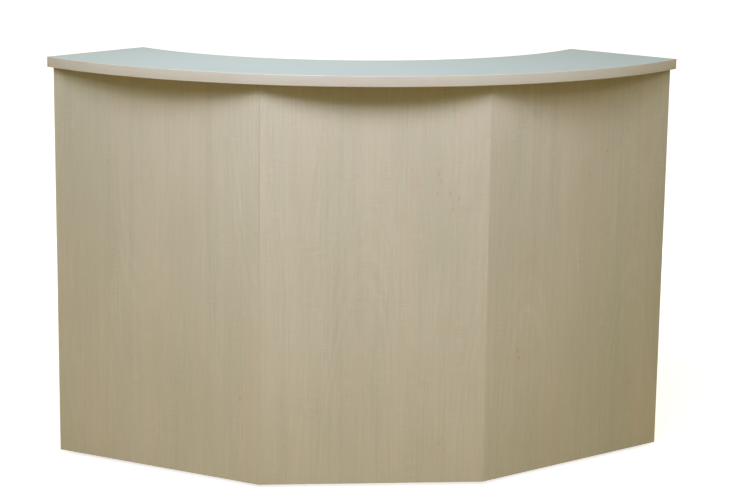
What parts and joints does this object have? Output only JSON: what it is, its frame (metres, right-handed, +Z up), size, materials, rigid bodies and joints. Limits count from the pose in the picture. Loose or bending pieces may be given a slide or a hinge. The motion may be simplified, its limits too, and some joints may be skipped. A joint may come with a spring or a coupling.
{
  "type": "mobile bar counter",
  "caption": "Mobile bar counter: flat maple facing panels angled back at the sides under a curved worktop, with shelved bays behind and swivel castors beneath.",
  "frame": {"origin": "on the floor under the middle of the worktop seen from above", "axes": "+Z up, -Y towards the customer side with the facing panels, +Y towards the open staff side, +X to the right as the customer sees it"},
  "size_m": [1.7192, 0.6614, 1.11],
  "materials": {
    "facing_maple": "pale maple melamine on chipboard, upright grain, satin",
    "carcass_maple": "pale maple melamine on chipboard, satin",
    "worktop_core": "raw chipboard core",
    "worktop_laminate": "pale maple high-pressure laminate, satin with a soft sheen",
    "backing_sheet": "plain backing laminate",
    "worktop_edging": "maple-printed plastic edging",
    "board_edging": "maple-printed plastic edge band",
    "zinc_steel": "zinc-plated steel",
    "castor_steel": "bright zinc-plated pressed steel",
    "bearing_steel": "polished bearing steel under a film of grease",
    "wheel_plastic": "grey moulded polypropylene",
    "tyre_rubber": "dark grey non-marking rubber",
    "pedal_plastic": "black moulded nylon"
  },
  "bodies": {
    "carcass": {"worktop_core": "worktop_core", "worktop_laminate": "worktop_laminate", "worktop_backing_sheet": "backing_sheet", "worktop_edging": "worktop_edging", "front_panel_centre": "facing_maple", "front_panel_left": "facing_maple", "front_panel_right": "facing_maple", "panel_edge_bands": "board_edging", "end_panel_left": "carcass_maple", "end_panel_right": "carcass_maple", "divider_left": "carcass_maple", "divider_right": "carcass_maple", "upright_edge_bands": "board_edging", "base_deck": "carcass_maple", "base_deck_band": "board_edging", "top_rail_left": "carcass_maple", "top_rail_centre": "carcass_maple", "top_rail_right": "carcass_maple", "shelf_left": "carcass_maple", "shelf_centre": "carcass_maple", "shelf_right": "carcass_maple", "shelf_band_left": "board_edging", "shelf_band_centre": "board_edging", "shelf_band_right": "board_edging", "shelf_pegs": "zinc_steel", "cam_locks": "zinc_steel", "cam_bolts": "zinc_steel", "deck_screws": "zinc_steel", "corner_brackets": "zinc_steel", "top_brackets": "zinc_steel", "bracket_screws": "zinc_steel", "worktop_screws": "zinc_steel", "castor_screws": "zinc_steel", "castor_kingpins": "castor_steel", "castor_bearing_balls": "bearing_steel", "castor_plate_front_left": "castor_steel", "castor_plate_front_right": "castor_steel", "castor_plate_rear_left": "castor_steel", "castor_plate_rear_right": "castor_steel"},
    "castor_front_left_fork": {"castor_fork_front_left": "castor_steel", "castor_axle_front_left": "castor_steel"},
    "castor_front_left_wheel": {"castor_wheel_front_left": "wheel_plastic", "castor_tyre_front_left": "tyre_rubber"},
    "castor_front_right_fork": {"castor_fork_front_right": "castor_steel", "castor_axle_front_right": "castor_steel"},
    "castor_front_right_wheel": {"castor_wheel_front_right": "wheel_plastic", "castor_tyre_front_right": "tyre_rubber"},
    "castor_rear_left_fork": {"castor_fork_rear_left": "castor_steel", "castor_axle_rear_left": "castor_steel", "brake_pin_left": "castor_steel"},
    "castor_rear_left_wheel": {"castor_wheel_rear_left": "wheel_plastic", "castor_tyre_rear_left": "tyre_rubber"},
    "castor_rear_left_pedal": {"brake_pedal_left": "pedal_plastic"},
    "castor_rear_right_fork": {"castor_fork_rear_right": "castor_steel", "castor_axle_rear_right": "castor_steel", "brake_pin_right": "castor_steel"},
    "castor_rear_right_wheel": {"castor_wheel_rear_right": "wheel_plastic", "castor_tyre_rear_right": "tyre_rubber"},
    "castor_rear_right_pedal": {"brake_pedal_right": "pedal_plastic"}
  },
  "joints": [
    {"name": "castor_front_left_swivel", "type": "hinge", "parent": "carcass", "child": "castor_front_left_fork", "pos_m": [-0.27289, -0.16338, 0.1], "axis": [0, 0, 1], "continuous": true},
    {"name": "castor_front_left_roll", "type": "hinge", "parent": "castor_front_left_fork", "child": "castor_front_left_wheel", "pos_m": [-0.30108, -0.15312, 0.0375], "axis": [-0.342, -0.9397, 0], "continuous": true},
    {"name": "castor_front_right_swivel", "type": "hinge", "parent": "carcass", "child": "castor_front_right_fork", "pos_m": [0.27289, -0.16338, 0.1], "axis": [0, 0, 1], "continuous": true},
    {"name": "castor_front_right_roll", "type": "hinge", "parent": "castor_front_right_fork", "child": "castor_front_right_wheel", "pos_m": [0.29746, -0.14618, 0.0375], "axis": [-0.5736, 0.8192, 0], "continuous": true},
    {"name": "castor_rear_left_swivel", "type": "hinge", "parent": "carcass", "child": "castor_rear_left_fork", "pos_m": [-0.595, 0.12097, 0.1], "axis": [0, 0, 1], "continuous": true},
    {"name": "castor_rear_left_roll", "type": "hinge", "parent": "castor_rear_left_fork", "child": "castor_rear_left_wheel", "pos_m": [-0.60276, 0.14994, 0.0375], "axis": [-0.9659, -0.2588, 0], "continuous": true},
    {"name": "castor_rear_left_brake", "type": "hinge", "parent": "castor_rear_left_fork", "child": "castor_rear_left_pedal", "pos_m": [-0.61083, 0.18006, 0.07465], "axis": [0.9659, 0.2588, 0], "range_deg": [0, 18]},
    {"name": "castor_rear_right_swivel", "type": "hinge", "parent": "carcass", "child": "castor_rear_right_fork", "pos_m": [0.595, 0.12097, 0.1], "axis": [0, 0, 1], "continuous": true},
    {"name": "castor_rear_right_roll", "type": "hinge", "parent": "castor_rear_right_fork", "child": "castor_rear_right_wheel", "pos_m": [0.60526, 0.14916, 0.0375], "axis": [-0.9397, 0.342, 0], "continuous": true},
    {"name": "castor_rear_right_brake", "type": "hinge", "parent": "castor_rear_right_fork", "child": "castor_rear_right_pedal", "pos_m": [0.61592, 0.17845, 0.07465], "axis": [0.9397, -0.342, 0], "range_deg": [0, 18]}
  ]
}
